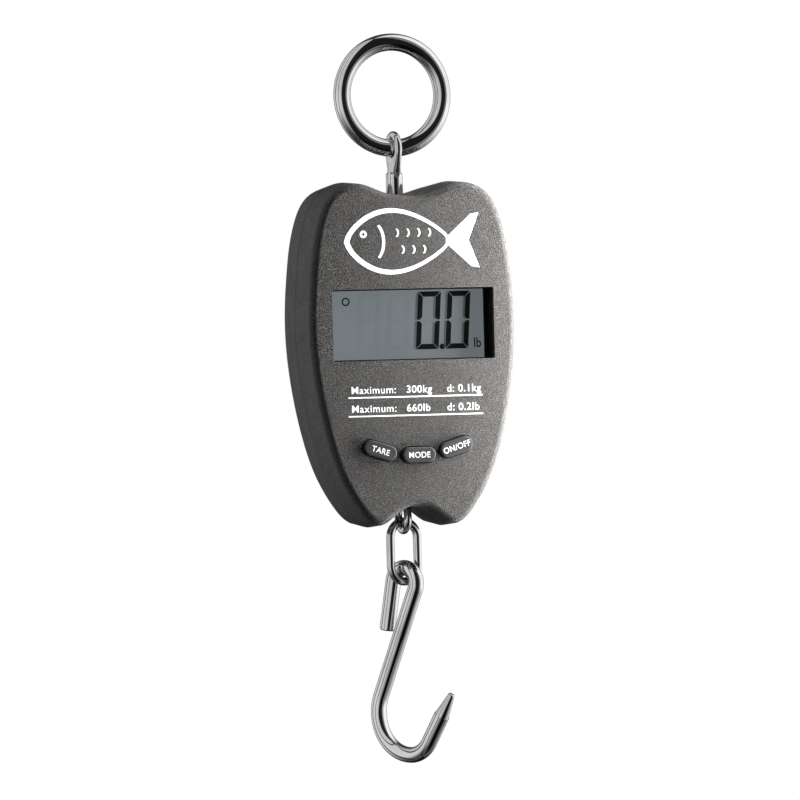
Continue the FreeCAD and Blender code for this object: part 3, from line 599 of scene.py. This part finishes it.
def flat_text(name: str, words: str, cap: float, rise: float, bold: float = 0.0,
              align: str = "LEFT", narrow: float = 1.0, spacing: float = 1.0) -> bpy.types.Object:
    """Make raised lettering.

    Args:
        name: the piece's name.
        words: what it says.
        cap: height of a capital in millimetres.
        rise: full thickness in millimetres.
        bold: how far each stroke is thickened, in millimetres.
        align: LEFT, CENTER or RIGHT.
        narrow: width of the letters against their usual width.
        spacing: room between letters against their usual room.

    Returns:
        The text object, drawn about the origin in the X-Y plane.
    """
    cap_share = 0.70
    bpy.ops.object.text_add()
    piece = bpy.context.object
    piece.name = name
    text = piece.data
    text.body = words
    text.size = cap * MM / cap_share
    text.extrude = rise * MM / 2
    text.offset = bold * MM
    text.align_x = align
    text.space_character = spacing
    text.resolution_u = 4
    if narrow != 1.0:
        choose(piece)
        bpy.ops.object.convert(target="MESH")
        piece = bpy.context.object
        piece.data.transform(Matrix.Diagonal((narrow, 1.0, 1.0, 1.0)))
    return piece


def ring_loop(u: float, v: float, radius: float, steps: int = 40) -> Loop:
    """A circle as a closed loop."""
    return [(u + radius * math.cos(math.tau * i / steps), v + radius * math.sin(math.tau * i / steps))
            for i in range(steps)]


def arc(u: float, wide: float, tall: float, start: float, end: float,
        steps: int = 16, v: float = 0.0) -> Loop:
    """Points along part of an ellipse.

    Args:
        u: the centre's place across.
        wide: half its width.
        tall: half its height.
        start: the first point's angle, in degrees.
        end: the last point's angle, in degrees.
        steps: how many parts the arc is divided into.
        v: the centre's height.

    Returns:
        The points, in order from start to end.
    """
    turns = [math.radians(start + (end - start) * i / steps) for i in range(steps + 1)]
    return [(u + wide * math.cos(a), v + tall * math.sin(a)) for a in turns]


def bar_loop(left: float, right: float, low: float, high: float) -> Loop:
    """A rectangle as a closed loop."""
    return [(left, low), (right, low), (right, high), (left, high)]


# ---------------------------------------------------------------- sub-assemblies
@dataclass
class SteelGear:
    """The ring, eye bolts, link and hook: bent and polished steel wire."""

    wardrobe: Wardrobe

    def build(self) -> None:
        """Dress the load-bearing steel."""
        self.wardrobe.dress_nodes(STEEL, "hanging_ring", "top_eye_bolt", "bottom_eye_bolt", "chain_link",
                                  "s_hook")
        self.wardrobe.dress_nodes(ZINC, "top_lock_nut", "bottom_lock_nut")


@dataclass
class CaseFront:
    """The shells and the marks printed on the front."""

    wardrobe: Wardrobe
    ink_rise: float = 0.06
    mark_z: float = -77.6
    mark_length: float = 58.0
    mark_height: float = 25.0
    mark_stroke: float = 1.5
    mark_steps: int = 48
    stem_half: float = 1.9
    tail_root: float = 0.27
    tail_spread: float = 0.42
    eye: tuple[float, float] = (-20.6, 3.0)
    eye_r: tuple[float, float] = (1.5, 0.6)
    gill_outer: tuple[float, float, float] = (-16.5, 5.2, 8.0)
    gill_inner: tuple[float, float, float] = (-17.2, 4.6, 7.6)
    gill_reach: tuple[float, float] = (58.0, 56.0)
    scale_first: float = -7.5
    scale_pitch: float = 4.6
    scale_lift: float = 3.4
    scale_wide: float = 2.2
    scale_tall: tuple[float, float] = (2.2, 2.0)
    scale_back: float = 0.7
    scale_reach: float = 50.0
    line_half: float = 28.8
    line_height: float = 0.55
    line_z: tuple[float, float] = (-140.5, -148.0)
    word_cap: float = 2.95
    word_bold: float = 0.03
    word_wide: float = 1.03
    word_lift: float = 1.85
    word_spacing: float = 1.08
    word_x: tuple[float, float, float] = (-27.6, -4.0, 13.4)
    words: tuple[tuple[str, str, str], ...] = (("Maximum:", "300kg", "d: 0.1kg"),
                                               ("Maximum:", "660lb", "d: 0.2lb"))

    def build(self) -> None:
        """Dress the shells and print the marks."""
        self.wardrobe.dress_nodes(GRAINED, "front_case", "rear_case", "battery_door")
        self.wardrobe.dress_nodes(SCREW, "case_screws", "load_cell_screws")
        self.print_fish()
        self.print_rating()

    @property
    def face_y(self) -> float:
        """Depth of the front face, in metres."""
        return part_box("front_case")[0].y

    def put(self, piece: bpy.types.Object, x: float, z: float) -> None:
        """Lay a printed piece on the front face.

        Args:
            piece: the flat piece.
            x: its origin's place across, in millimetres.
            z: its origin's height, in millimetres.
        """
        stand_upright(piece, x * MM, self.face_y, z * MM)
        self.wardrobe.dress(piece, INK)
        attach(piece, "scale_body")
        LOG.info("printed %s", piece.name)

    def fish_edge(self, inset: float) -> Loop:
        """The fish's body outline, nose at the left.

        Args:
            inset: how far the outline stands inside the outer one, in millimetres.

        Returns:
            A closed loop that ends in the tail's root.
        """
        nose_share, root_share, stem_share = 1.6, 0.6, 0.5
        lead, fullness = 0.82, 0.8
        nose = -self.mark_length / 2 + inset * nose_share
        root = self.mark_length * self.tail_root - inset * root_share
        half = self.mark_height / 2 - inset
        stem = self.stem_half - inset * stem_share
        upper = []
        for i in range(self.mark_steps + 1):
            t = i / self.mark_steps
            swell = math.sin(math.pi * t ** lead) ** fullness if 0 < t < 1 else 0.0
            upper.append((nose + (root - nose) * t, half * swell + stem * t))
        lower = [(u, -v) for u, v in reversed(upper[1:])]
        return upper + lower

    def tail_loop(self) -> Loop:
        """Draw the tail fin, a forked fan.

        Returns:
            A closed loop.
        """
        overlap, slope, fork, flick = 0.2, 3.5, 4.5, 0.6
        stem = self.stem_half - overlap
        root = self.mark_length * self.tail_root - overlap
        end = self.mark_length / 2
        spread = self.mark_height * self.tail_spread
        return [(root, stem), (end - slope, spread), (end, spread + flick), (end - fork, 0.0),
                (end, -spread - flick), (end - slope, -spread), (root, -stem)]

    def gill_loop(self) -> Loop:
        """Draw the gill cover's edge, a crescent.

        Returns:
            A closed loop.
        """
        outer_reach, inner_reach = self.gill_reach
        outer = arc(*self.gill_outer, -outer_reach, outer_reach)
        return outer + arc(*self.gill_inner, inner_reach, -inner_reach)

    def scale_loops(self) -> list[Loop]:
        """Draw two rows of short crescents for the fish's scales.

        Returns:
            One closed loop for each scale.
        """
        loops = []
        wide, reach, steps = self.scale_wide, self.scale_reach, 8
        outer_tall, inner_tall = self.scale_tall
        for row, lift in enumerate((self.scale_lift, -self.scale_lift)):
            for i in range(4 - row):
                centre = self.scale_first + self.scale_pitch * (i + row / 2)
                outer = arc(centre, wide, outer_tall, -reach, reach, steps, lift)
                inner = arc(centre - self.scale_back, wide, inner_tall, reach, -reach, steps, lift)
                loops.append(outer + inner)
        return loops

    def print_fish(self) -> None:
        """Print the plain fish pictogram above the display."""
        loops = [self.fish_edge(0.0), self.fish_edge(self.mark_stroke), self.tail_loop(), self.gill_loop(),
                 *(ring_loop(*self.eye, radius) for radius in self.eye_r), *self.scale_loops()]
        self.put(flat_plate("fish_pictogram", loops, self.ink_rise), 0.0, self.mark_z)

    def print_rating(self) -> None:
        """Print the two rating lines and the rule under each."""
        for row, (z, line) in enumerate(zip(self.line_z, self.words)):
            bar = bar_loop(-self.line_half, self.line_half, 0, self.line_height)
            self.put(flat_plate(f"rating_rule_{row}", [bar], self.ink_rise), 0.0, z)
            for column, (x, words) in enumerate(zip(self.word_x, line)):
                text = flat_text(f"rating_text_{row}_{column}", words, self.word_cap, self.ink_rise,
                                 self.word_bold, narrow=self.word_wide, spacing=self.word_spacing)
                self.put(text, x, z + self.word_lift)


@dataclass
class Display:
    """The display: window, frame, glass and its segments, as "0.0" with unlit digits beside it and a painted
    shadow left of each lit digit.
    """

    wardrobe: Wardrobe
    digit_x: tuple[float, ...] = (-16.6, -3.86, 8.87, 21.6)
    lit: tuple[int, ...] = (2, 3)
    centre_z: float = -109.6
    width: float = 9.8
    height: float = 23.3
    stroke: float = 2.1
    gap: float = 0.28
    slant: float = 4.0
    rise: float = 0.04
    painted_shadow_offset: float = -0.9
    dot: tuple[float, float] = (14.5, -120.3)
    dot_r: float = 1.1
    zero_mark: tuple[float, float] = (-26.4, -101.5)
    zero_r: tuple[float, float] = (1.7, 1.15)
    unit: tuple[float, float] = (28.0, -120.8)
    unit_cap: float = 3.9
    unit_bold: float = 0.06
    unit_narrow: float = 0.85

    def build(self) -> None:
        """Dress the display's nodes and add its segments."""
        self.wardrobe.dress_nodes(ACRYLIC, "display_window")
        self.wardrobe.dress_nodes(BLACK, "display_bezel")
        self.wardrobe.dress_nodes(LCD, "lcd_panel")
        self.wardrobe.dress_nodes(RUBBER, "lcd_connectors")
        ghosts = [loop for x in self.digit_x for loop in self.digit(x, "abcdefg")]
        # Painted shadows of the lit digits: copies shifted left, where the segments' shadow on the reflector
        # would fall.
        shades = [loop for i in self.lit for loop in self.digit(self.digit_x[i] + self.painted_shadow_offset, "abcdef")]
        lit = [loop for i in self.lit for loop in self.digit(self.digit_x[i], "abcdef")]
        lit.append(ring_loop(*self.dot, self.dot_r))
        lit += [ring_loop(*self.zero_mark, radius) for radius in self.zero_r]
        self.put(flat_plate("unlit_segments", ghosts, self.rise), GHOST, 0.0)
        self.put(flat_plate("segment_shades", shades, self.rise), PAINTED_SHADOW, self.rise)
        self.put(flat_plate("lit_segments", lit, self.rise), SEGMENT, self.rise * 2)
        unit = flat_text("unit_mark", "lb", self.unit_cap, self.rise, self.unit_bold, narrow=self.unit_narrow)
        self.put(unit, SEGMENT, self.rise, *self.unit)

    def put(self, piece: bpy.types.Object, finish: Finish, lift: float,
            x: float = 0.0, z: float = 0.0) -> None:
        """Lay a thin piece on the display glass.

        Args:
            piece: the flat piece.
            finish: its finish.
            lift: how far its middle stands in front of the glass, in millimetres.
            x: its origin's place across, in millimetres.
            z: its origin's height, in millimetres.
        """
        glass_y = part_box("lcd_panel")[0].y
        stand_upright(piece, x * MM, glass_y - (lift + self.rise / 2) * MM, z * MM)
        self.wardrobe.dress(piece, finish)
        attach(piece, "scale_body")
        LOG.info("display piece %s", piece.name)

    def digit(self, x: float, segments: str) -> list[Loop]:
        """The outlines of one seven-segment digit.

        Args:
            x: the digit's centre, in millimetres.
            segments: which of a to g are drawn.

        Returns:
            One closed, slanted loop for each segment, with mitred ends.
        """
        w, h, t, g = self.width / 2, self.height / 2, self.stroke, self.gap
        m = t / 2
        shapes = {
            "a": [(-w + g, h), (w - g, h), (w - t - g, h - t), (-w + t + g, h - t)],
            "d": [(-w + g, -h), (w - g, -h), (w - t - g, -h + t), (-w + t + g, -h + t)],
            "b": [(w, h - g), (w, g), (w - m, g), (w - t, m + g), (w - t, h - t - g)],
            "c": [(w, -h + g), (w, -g), (w - m, -g), (w - t, -m - g), (w - t, -h + t + g)],
            "g": [(-w + m + g, 0), (-w + t + g, m), (w - t - g, m),
                  (w - m - g, 0), (w - t - g, -m), (-w + t + g, -m)],
        }
        shapes["f"] = [(-u, v) for u, v in shapes["b"]]
        shapes["e"] = [(-u, v) for u, v in shapes["c"]]
        lean = math.tan(math.radians(self.slant))
        return [[(x + u + v * lean, self.centre_z + v) for u, v in shapes[s]] for s in segments]


@dataclass
class Keys:
    """The three push buttons, their labels and their switches."""

    wardrobe: Wardrobe
    labels: tuple[tuple[str, str, float], ...] = (("tare", "TARE", -17.0), ("mode", "MODE", 0.0),
                                                   ("power", "ON/OFF", 17.0))
    cap: float = 2.35
    rise: float = 0.05
    bold: float = 0.012
    narrow: float = 0.95
    spacing: float = 1.06

    def build(self) -> None:
        """Dress the buttons and print their labels."""
        self.wardrobe.dress_nodes(CHIP, "tact_switches")
        for name, words, tilt in self.labels:
            self.wardrobe.dress_nodes(SATIN, f"{name}_button")
            self.wardrobe.dress_nodes(CHIP, f"{name}_switch_stem")
            self.print_label(name, words, tilt)

    def print_label(self, name: str, words: str, tilt: float) -> None:
        """Print one label at the middle of its button.

        Args:
            name: the button's name.
            words: the label.
            tilt: the button's turn, in degrees.
        """
        low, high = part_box(f"{name}_button")
        middle = (low + high) / 2
        drop = self.cap / 2 * MM
        text = flat_text(f"{name}_label", words, self.cap, self.rise, self.bold, "CENTER", self.narrow,
                         self.spacing)
        turn = math.radians(tilt)
        stand_upright(text, middle.x + drop * math.sin(turn), low.y, middle.z - drop * math.cos(turn), tilt)
        self.wardrobe.dress(text, INK)
        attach(text, f"{name}_key")
        LOG.info("label %s", text.name)


@dataclass
class Inside:
    """What the case holds: board, load cell, wiring and batteries."""

    wardrobe: Wardrobe

    def build(self) -> None:
        """Dress the inner nodes."""
        self.wardrobe.dress_nodes(BOARD, "circuit_board")
        self.wardrobe.dress_nodes(CHIP, "board_chips")
        self.wardrobe.dress_nodes(ZINC, "board_screws", "battery_contacts")
        self.wardrobe.dress_nodes(ALLOY, "load_cell")
        self.wardrobe.dress_nodes(GAUGE, "strain_gauges")
        self.wardrobe.dress_nodes(GREY_SHEATH, "load_cell_cable")
        self.wardrobe.dress_nodes(RED_SHEATH, "battery_wire_positive")
        self.wardrobe.dress_nodes(BLACK_SHEATH, "battery_wire_negative")
        self.wardrobe.dress_nodes(SLEEVE, "battery_cells")


# ---------------------------------------------------------------- studio
WARM: Colour = (1.0, 0.972, 0.955)
COOL: Colour = (0.97, 1.0, 0.99)
VIEW_CENTRE = Vector((0.0, 0.0, -0.1415))


@dataclass(frozen=True)
class SoftBox:
    """One area light, aimed at a point; the chrome sees the surround's cards in its place."""

    name: str
    azimuth: float
    elevation: float
    distance: float
    width: float
    height: float
    power: float
    tint: Colour

    def build(self, target: Vector) -> None:
        """Place the light.

        Args:
            target: the point that it faces.
        """
        a, e = math.radians(self.azimuth), math.radians(self.elevation)
        back = Vector((math.sin(a) * math.cos(e), -math.cos(a) * math.cos(e), math.sin(e)))
        data = bpy.data.lights.new(self.name, "AREA")
        data.shape = "RECTANGLE"
        data.size, data.size_y = self.width, self.height
        data.energy = self.power
        data.color = self.tint
        lamp = bpy.data.objects.new(self.name, data)
        lamp.location = target + back * self.distance
        lamp.rotation_euler = (-back).to_track_quat("-Z", "Y").to_euler()
        lamp.visible_camera = False
        lamp.visible_glossy = False
        bpy.context.scene.collection.objects.link(lamp)


@dataclass
class Studio:
    """Pale floor, plain surround, soft lights and the camera."""

    wardrobe: Wardrobe
    target: Vector
    azimuth: float = -20.0
    roll: float = 1.5
    distance: float = 3.0
    view_width: float = 0.324
    sensor: float = 36.0
    sight_limit: float = 20.0
    floor_drop: float = 0.06
    floor_radius: float = 0.5
    floor_sides: int = 96
    room: Colour = (0.006, 0.006, 0.006)
    card_foot: tuple[float, float] = (-0.72, -0.28)
    foot_level: float = 0.12
    cards: tuple[tuple[float, float], ...] = (
        (-180.0, 0.06), (-170.0, 0.08), (-160.0, 0.75), (-126.0, 0.85), (-122.0, 0.06), (-113.0, 0.06),
        (-109.0, 0.95), (-79.0, 0.85), (-75.0, 0.16), (-70.0, 0.16), (-66.0, 0.9), (-31.0, 0.7),
        (-23.0, 0.02), (26.0, 0.015), (33.0, 0.45), (37.0, 0.12), (42.0, 0.12), (50.0, 1.0),
        (60.0, 1.3), (108.0, 1.3), (124.0, 0.8), (140.0, 0.08), (180.0, 0.06),
    )
    boxes: tuple[SoftBox, ...] = (
        SoftBox("key_right", 70.0, 4.0, 0.13, 0.05, 0.34, 3.0, WARM),
        SoftBox("left_card", -104.0, 4.0, 0.9, 0.5, 1.1, 2.0, COOL),
        SoftBox("rear_left", -150.0, 5.0, 0.9, 0.6, 1.1, 1.5, COOL),
        SoftBox("rear_right", 140.0, 5.0, 0.9, 0.4, 1.0, 3.4, WARM),
        SoftBox("top_card", 150.0, 80.0, 0.8, 0.5, 0.5, 0.6, WARM),
    )

    def build(self) -> None:
        """Set up the floor, the surround, the lights and the camera."""
        bpy.context.scene.view_settings.view_transform = "Standard"
        self.lay_floor()
        self.light_world()
        for box in self.boxes:
            box.build(self.target)
        self.place_camera()

    def lay_floor(self) -> None:
        """A round pale floor below the hook."""
        deselect()
        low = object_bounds()[0].z - self.floor_drop
        bpy.ops.mesh.primitive_circle_add(vertices=self.floor_sides, radius=self.floor_radius,
                                          fill_type="NGON", location=(0.0, 0.0, low))
        floor = bpy.context.object
        floor.name = "studio_floor"
        bpy.ops.object.transform_apply(location=True, rotation=True, scale=True)
        self.wardrobe.dress(floor, FLOOR)
        floor.visible_glossy = False
        floor.visible_diffuse = False
        floor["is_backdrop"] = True

    def light_world(self) -> None:
        """A white surround to the eye, pale and black cards to the chrome, and a dim room to the rest."""
        world = bpy.data.worlds.new("studio")
        bpy.context.scene.world = world
        world.use_nodes = True
        tree = world.node_tree
        path = tree.nodes.new("ShaderNodeLightPath")
        seen = tree.nodes["Background"]
        seen.inputs["Color"].default_value = (1, 1, 1, 1)
        felt = tree.nodes.new("ShaderNodeBackground")
        felt.inputs["Color"].default_value = (*self.room, 1)
        cards = tree.nodes.new("ShaderNodeBackground")
        tree.links.new(self.card_colour(tree), cards.inputs["Color"])
        shine = tree.nodes.new("ShaderNodeMixShader")
        tree.links.new(path.outputs["Is Glossy Ray"], shine.inputs["Fac"])
        tree.links.new(felt.outputs["Background"], shine.inputs[1])
        tree.links.new(cards.outputs["Background"], shine.inputs[2])
        mix = tree.nodes.new("ShaderNodeMixShader")
        tree.links.new(path.outputs["Is Camera Ray"], mix.inputs["Fac"])
        tree.links.new(shine.outputs["Shader"], mix.inputs[1])
        tree.links.new(seen.outputs["Background"], mix.inputs[2])
        tree.links.new(mix.outputs["Shader"], tree.nodes["World Output"].inputs["Surface"])

    def card_colour(self, tree: bpy.types.NodeTree) -> bpy.types.NodeSocket:
        """The brightness of the cards that stand round the object, by their bearing from the front.

        Args:
            tree: the world's node tree.

        Returns:
            The colour in the ray's direction.
        """
        coords = tree.nodes.new("ShaderNodeTexCoord")
        parts = tree.nodes.new("ShaderNodeSeparateXYZ")
        tree.links.new(coords.outputs["Generated"], parts.inputs["Vector"])
        back = tree.nodes.new("ShaderNodeMath")
        back.operation = "MULTIPLY"
        back.inputs[1].default_value = -1.0
        tree.links.new(parts.outputs["Y"], back.inputs[0])
        bearing = tree.nodes.new("ShaderNodeMath")
        bearing.operation = "ARCTAN2"
        tree.links.new(parts.outputs["X"], bearing.inputs[0])
        tree.links.new(back.outputs["Value"], bearing.inputs[1])
        turn = remap(tree, bearing.outputs["Value"], -math.pi, math.pi)
        height = remap(tree, parts.outputs["Z"], *self.card_foot)
        height.inputs["To Min"].default_value = self.foot_level
        ramp = tree.nodes.new("ShaderNodeValToRGB")
        stops = ramp.color_ramp.elements
        while len(stops) < len(self.cards):
            stops.new(0.5)
        for stop, (angle, level) in zip(stops, self.cards):
            stop.position = (angle + 180.0) / 360.0
            stop.color = (level, level, level, 1.0)
        tree.links.new(turn.outputs["Result"], ramp.inputs["Fac"])
        faded = tree.nodes.new("ShaderNodeMix")
        faded.data_type = "RGBA"
        faded.inputs["A"].default_value = (0, 0, 0, 1)
        tree.links.new(height.outputs["Result"], faded.inputs["Factor"])
        tree.links.new(ramp.outputs["Color"], faded.inputs["B"])
        return faded.outputs["Result"]

    def place_camera(self) -> None:
        """Put a long lens level with the case, a little to its left."""
        data = bpy.data.cameras.new("camera")
        data.sensor_width = self.sensor
        data.lens = self.sensor * self.distance / self.view_width
        data.clip_end = self.sight_limit
        camera = bpy.data.objects.new("camera", data)
        bpy.context.scene.collection.objects.link(camera)
        a, roll = math.radians(self.azimuth), math.radians(self.roll)
        back = Vector((math.sin(a), -math.cos(a), 0.0))
        level = Vector((math.cos(a), math.sin(a), 0.0))
        plumb = Vector((0.0, 0.0, 1.0))
        right = level * math.cos(roll) - plumb * math.sin(roll)
        up = level * math.sin(roll) + plumb * math.cos(roll)
        camera.matrix_world = Matrix.Translation(self.target + back * self.distance) @ Matrix(
            (right, up, back)).transposed().to_4x4()
        bpy.context.scene.camera = camera


def main() -> None:
    """Build the sub-assemblies in order, then the studio."""
    logging.basicConfig(level=logging.INFO, format="%(name)s: %(message)s")
    wardrobe = Wardrobe()
    for assembly in (SteelGear, CaseFront, Display, Keys, Inside):
        assembly(wardrobe).build()
    Studio(wardrobe, VIEW_CENTRE).build()


if __name__ == "__main__":
    main()
